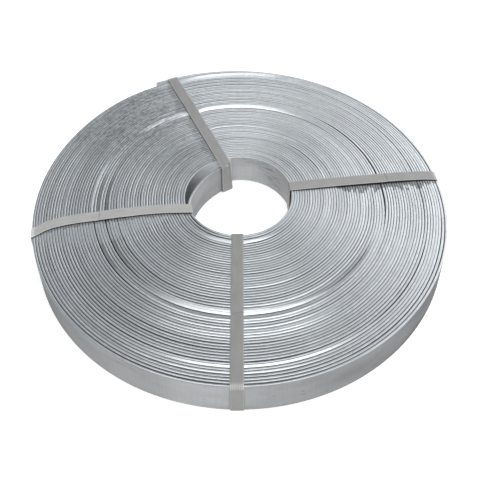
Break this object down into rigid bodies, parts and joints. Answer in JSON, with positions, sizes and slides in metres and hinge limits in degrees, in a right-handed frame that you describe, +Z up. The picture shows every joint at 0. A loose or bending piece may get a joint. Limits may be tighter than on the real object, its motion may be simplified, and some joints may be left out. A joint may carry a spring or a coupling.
{
  "type": "aluminium strip coil",
  "caption": "Pancake coil of flat bare aluminium strip with an open bore, lying flat, held by flat plastic straps looped round its section.",
  "frame": {"origin": "middle of the object's box at floor level, under the coil's bore; the coil's own axis is within 1 mm of it", "axes": "+Z up along the coil's axis, -Y towards the viewer of the picture, +X to the viewer's right"},
  "size_m": [0.4682, 0.4704, 0.0416],
  "materials": {
    "bare_aluminium": "mill finish, dull on the strip's flat side, bright on its rolled edges",
    "strap_plastic": "embossed polypropylene strapping, satin"
  },
  "bodies": {
    "root": {"strip_coil": "bare_aluminium", "strap_front": "strap_plastic", "strap_right": "strap_plastic", "strap_back_left": "strap_plastic", "strap_left": "strap_plastic"}
  },
  "joints": []
}
